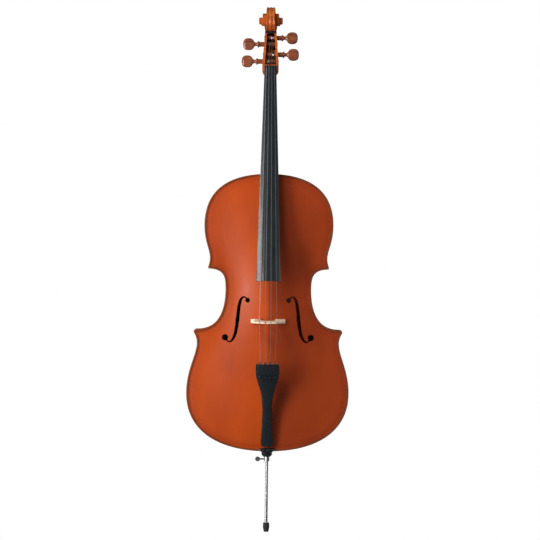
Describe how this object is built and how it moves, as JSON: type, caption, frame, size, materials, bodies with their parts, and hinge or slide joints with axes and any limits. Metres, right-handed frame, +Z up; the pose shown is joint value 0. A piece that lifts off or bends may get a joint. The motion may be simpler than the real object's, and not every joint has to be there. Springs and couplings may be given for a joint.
{
  "type": "cello",
  "caption": "Bowed string instrument with an arched hollow body, long neck with scroll and turning pegs, tuned tailpiece, and an endpin that slides and clamps.",
  "frame": {"origin": "foot of the endpin, on its centre line", "axes": "+Z up along the endpin and the body; -Y is the front, where the strings are; +X is the treble side, on the right seen from the front"},
  "size_m": [0.442, 0.2591, 1.4408],
  "materials": {
    "varnished_spruce": "glossy orange-red varnish over straight-grained spruce",
    "varnished_maple": "glossy orange-red varnish over flamed maple",
    "bare_spruce": "plain planed wood",
    "bare_maple": "pale sanded maple",
    "black_wood": "satin black",
    "peg_wood": "polished dark red-brown",
    "black_resin": "satin black",
    "steel": "bright",
    "rubber": "matt"
  },
  "bodies": {
    "body": {"back_plate": "varnished_maple", "bass_bar": "bare_spruce", "block_end": "bare_spruce", "block_lower_corner_bass": "bare_spruce", "block_lower_corner_treble": "bare_spruce", "block_top": "bare_spruce", "block_upper_corner_bass": "bare_spruce", "block_upper_corner_treble": "bare_spruce", "bridge": "bare_maple", "endpin_liner": "steel", "endpin_plug": "black_wood", "fingerboard": "black_wood", "lining_back_lower_bass": "bare_spruce", "lining_back_lower_treble": "bare_spruce", "lining_back_upper_bass": "bare_spruce", "lining_back_upper_treble": "bare_spruce", "lining_back_waist_bass": "bare_spruce", "lining_back_waist_treble": "bare_spruce", "lining_top_lower_bass": "bare_spruce", "lining_top_lower_treble": "bare_spruce", "lining_top_upper_bass": "bare_spruce", "lining_top_upper_treble": "bare_spruce", "lining_top_waist_bass": "bare_spruce", "lining_top_waist_treble": "bare_spruce", "neck": "varnished_maple", "nut": "black_wood", "rib_lower": "varnished_maple", "rib_upper_bass": "varnished_maple", "rib_upper_treble": "varnished_maple", "rib_waist_bass": "varnished_maple", "rib_waist_treble": "varnished_maple", "saddle": "black_wood", "sound_post": "bare_spruce", "string_a": "steel", "string_c": "steel", "string_d": "steel", "string_g": "steel", "tail_cord": "black_resin", "tailpiece": "black_resin", "top_plate": "varnished_spruce", "tuner_axle": "steel"},
    "peg_c": {"peg_c": "peg_wood", "winding_c": "steel"},
    "peg_g": {"peg_g": "peg_wood", "winding_g": "steel"},
    "peg_d": {"peg_d": "peg_wood", "winding_d": "steel"},
    "peg_a": {"peg_a": "peg_wood", "winding_a": "steel"},
    "tuner_screw_c": {"tuner_screw_c": "black_resin"},
    "tuner_lever_c": {"tuner_lever_c": "steel"},
    "tuner_screw_g": {"tuner_screw_g": "black_resin"},
    "tuner_lever_g": {"tuner_lever_g": "steel"},
    "tuner_screw_d": {"tuner_screw_d": "black_resin"},
    "tuner_lever_d": {"tuner_lever_d": "steel"},
    "tuner_screw_a": {"tuner_screw_a": "black_resin"},
    "tuner_lever_a": {"tuner_lever_a": "steel"},
    "endpin_rod": {"endpin_rod": "steel"},
    "endpin_tip": {"endpin_tip": "rubber"},
    "endpin_screw": {"endpin_screw": "steel"}
  },
  "joints": [
    {"name": "peg_c_turn", "type": "hinge", "parent": "body", "child": "peg_c", "pos_m": [0, -0.01612, 1.28848], "axis": [1, 0, 0], "continuous": true},
    {"name": "peg_g_turn", "type": "hinge", "parent": "body", "child": "peg_g", "pos_m": [0, 0.00619, 1.3375], "axis": [1, 0, 0], "continuous": true},
    {"name": "peg_d_turn", "type": "hinge", "parent": "body", "child": "peg_d", "pos_m": [0, 0.01324, 1.35559], "axis": [1, 0, 0], "continuous": true},
    {"name": "peg_a_turn", "type": "hinge", "parent": "body", "child": "peg_a", "pos_m": [0, -0.00677, 1.30822], "axis": [1, 0, 0], "continuous": true},
    {"name": "tuner_screw_c_travel", "type": "slide", "parent": "body", "child": "tuner_screw_c", "axis": [0, 0.9621, 0.2727], "range_m": [-0.0012, 0.0012]},
    {"name": "tuner_lever_c_tilt", "type": "hinge", "parent": "body", "child": "tuner_lever_c", "pos_m": [-0.0195, -0.12833, 0.45272], "axis": [1, 0, 0], "range_deg": [-3.6, 3.6]},
    {"name": "tuner_screw_g_travel", "type": "slide", "parent": "body", "child": "tuner_screw_g", "axis": [0, 0.9621, 0.2727], "range_m": [-0.0012, 0.0012]},
    {"name": "tuner_lever_g_tilt", "type": "hinge", "parent": "body", "child": "tuner_lever_g", "pos_m": [-0.0065, -0.12833, 0.45272], "axis": [1, 0, 0], "range_deg": [-3.6, 3.6]},
    {"name": "tuner_screw_d_travel", "type": "slide", "parent": "body", "child": "tuner_screw_d", "axis": [0, 0.9621, 0.2727], "range_m": [-0.0012, 0.0012]},
    {"name": "tuner_lever_d_tilt", "type": "hinge", "parent": "body", "child": "tuner_lever_d", "pos_m": [0.0065, -0.12833, 0.45272], "axis": [1, 0, 0], "range_deg": [-3.6, 3.6]},
    {"name": "tuner_screw_a_travel", "type": "slide", "parent": "body", "child": "tuner_screw_a", "axis": [0, 0.9621, 0.2727], "range_m": [-0.0012, 0.0012]},
    {"name": "tuner_lever_a_tilt", "type": "hinge", "parent": "body", "child": "tuner_lever_a", "pos_m": [0.0195, -0.12833, 0.45272], "axis": [1, 0, 0], "range_deg": [-3.6, 3.6]},
    {"name": "endpin_slide", "type": "slide", "parent": "body", "child": "endpin_rod", "axis": [0, 0, 1], "range_m": [-0.25, 0.16]},
    {"name": "endpin_tip_pull_off", "type": "slide", "parent": "endpin_rod", "child": "endpin_tip", "axis": [0, 0, -1], "range_m": [0, 0.03]},
    {"name": "endpin_screw_turn", "type": "hinge", "parent": "body", "child": "endpin_screw", "pos_m": [0, 0, 0.1995], "axis": [-1, 0, 0], "range_deg": [-720, 0]}
  ],
  "couplings": [
    {"joint": "tuner_lever_c_tilt", "follows": "tuner_screw_c_travel", "rad_per_m": 50},
    {"joint": "tuner_lever_g_tilt", "follows": "tuner_screw_g_travel", "rad_per_m": 50},
    {"joint": "tuner_lever_d_tilt", "follows": "tuner_screw_d_travel", "rad_per_m": 50},
    {"joint": "tuner_lever_a_tilt", "follows": "tuner_screw_a_travel", "rad_per_m": 50}
  ]
}
